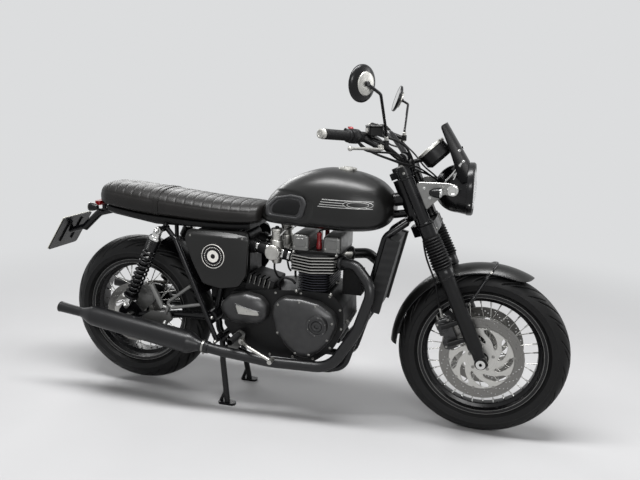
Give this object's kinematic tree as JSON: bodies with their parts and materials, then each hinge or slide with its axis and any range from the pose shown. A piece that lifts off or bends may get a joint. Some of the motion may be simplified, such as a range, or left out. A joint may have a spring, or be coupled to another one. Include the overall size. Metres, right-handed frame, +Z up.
{
  "type": "cafe racer motorcycle",
  "caption": "Retro road motorcycle with a flat bench seat, round headlamp under a fly screen, wire-spoked wheels and a finned upright engine, parked on its centre stand.",
  "frame": {"origin": "on the floor, in the middle plane, at the middle of the overall length", "axes": "+X forward, +Y to the rider's left, +Z up"},
  "size_m": [2.1783, 0.9626, 1.3511],
  "materials": {
    "main_frame": "satin",
    "swingarm": "satin",
    "rear_axle": "satin",
    "shock_absorbers": "polished",
    "shock_springs": "satin",
    "crankcase": "matte",
    "engine_covers": "satin",
    "cylinder_barrel": "matte",
    "cylinder_head": "matte",
    "cam_cover": "satin",
    "throttle_bodies": "satin",
    "air_box": "matte",
    "exhaust_headers": "matte",
    "silencers": "matte",
    "radiator": "matte",
    "fuel_tank": "satin",
    "fuel_cap": "satin",
    "knee_pads": "matte",
    "seat": "matte",
    "side_panels": "satin",
    "rear_mudguard": "matte",
    "number_plate": "satin",
    "tail_lamp": "polished",
    "rear_indicators": "satin",
    "footrests": "satin",
    "foot_pedals": "satin",
    "drive_chain": "satin",
    "rear_caliper": "satin",
    "fork_yokes": "satin",
    "fork_sliders": "satin",
    "fork_gaiters": "matte",
    "front_axle": "satin",
    "handlebar": "satin",
    "grips": "matte",
    "bar_controls": "satin",
    "mirrors": "satin",
    "headlamp_shell": "satin",
    "headlamp_lens": "polished",
    "headlamp_brackets": "satin",
    "front_indicators": "satin",
    "instruments": "satin",
    "fly_screen": "satin",
    "front_mudguard": "satin",
    "front_calipers": "satin",
    "front_tyre": "matte",
    "front_rim": "satin",
    "front_hub": "satin",
    "front_discs": "satin",
    "rear_tyre": "matte",
    "rear_rim": "satin",
    "rear_hub": "satin",
    "rear_disc": "satin",
    "rear_sprocket": "satin",
    "centre_stand": "satin",
    "side_stand": "satin"
  },
  "bodies": {
    "chassis": {"main_frame": "main_frame", "swingarm": "swingarm", "rear_axle": "rear_axle", "shock_absorbers": "shock_absorbers", "shock_springs": "shock_springs", "crankcase": "crankcase", "engine_covers": "engine_covers", "cylinder_barrel": "cylinder_barrel", "cylinder_head": "cylinder_head", "cam_cover": "cam_cover", "throttle_bodies": "throttle_bodies", "air_box": "air_box", "exhaust_headers": "exhaust_headers", "silencers": "silencers", "radiator": "radiator", "fuel_tank": "fuel_tank", "fuel_cap": "fuel_cap", "knee_pads": "knee_pads", "seat": "seat", "side_panels": "side_panels", "rear_mudguard": "rear_mudguard", "number_plate": "number_plate", "tail_lamp": "tail_lamp", "rear_indicators": "rear_indicators", "footrests": "footrests", "foot_pedals": "foot_pedals", "drive_chain": "drive_chain", "rear_caliper": "rear_caliper"},
    "steering": {"fork_yokes": "fork_yokes", "fork_sliders": "fork_sliders", "fork_gaiters": "fork_gaiters", "front_axle": "front_axle", "handlebar": "handlebar", "grips": "grips", "bar_controls": "bar_controls", "mirrors": "mirrors", "headlamp_shell": "headlamp_shell", "headlamp_lens": "headlamp_lens", "headlamp_brackets": "headlamp_brackets", "front_indicators": "front_indicators", "instruments": "instruments", "fly_screen": "fly_screen", "front_mudguard": "front_mudguard", "front_calipers": "front_calipers"},
    "front_wheel": {"front_tyre": "front_tyre", "front_rim": "front_rim", "front_hub": "front_hub", "front_discs": "front_discs"},
    "rear_wheel": {"rear_tyre": "rear_tyre", "rear_rim": "rear_rim", "rear_hub": "rear_hub", "rear_disc": "rear_disc", "rear_sprocket": "rear_sprocket"},
    "centre_stand": {"centre_stand": "centre_stand"},
    "side_stand": {"side_stand": "side_stand"}
  },
  "joints": [
    {"name": "steering_head", "type": "hinge", "parent": "chassis", "child": "steering", "pos_m": [0.45945, 0, 0.8908], "axis": [-0.4226, 0, 0.9063], "range_deg": [-32, 32]},
    {"name": "front_wheel_spin", "type": "hinge", "parent": "steering", "child": "front_wheel", "pos_m": [0.7704, 0, 0.3186], "axis": [0, 1, 0], "continuous": true},
    {"name": "rear_wheel_spin", "type": "hinge", "parent": "chassis", "child": "rear_wheel", "pos_m": [-0.6746, 0, 0.336], "axis": [0, 1, 0], "continuous": true},
    {"name": "centre_stand_hinge", "type": "hinge", "parent": "chassis", "child": "centre_stand", "pos_m": [-0.2621, 0, 0.285], "axis": [0, 1, 0], "range_deg": [0, 75]},
    {"name": "side_stand_hinge", "type": "hinge", "parent": "chassis", "child": "side_stand", "pos_m": [0.0419, 0.122, 0.196], "axis": [-0.0929, -0.814, -0.5734], "range_deg": [0, 100]}
  ]
}
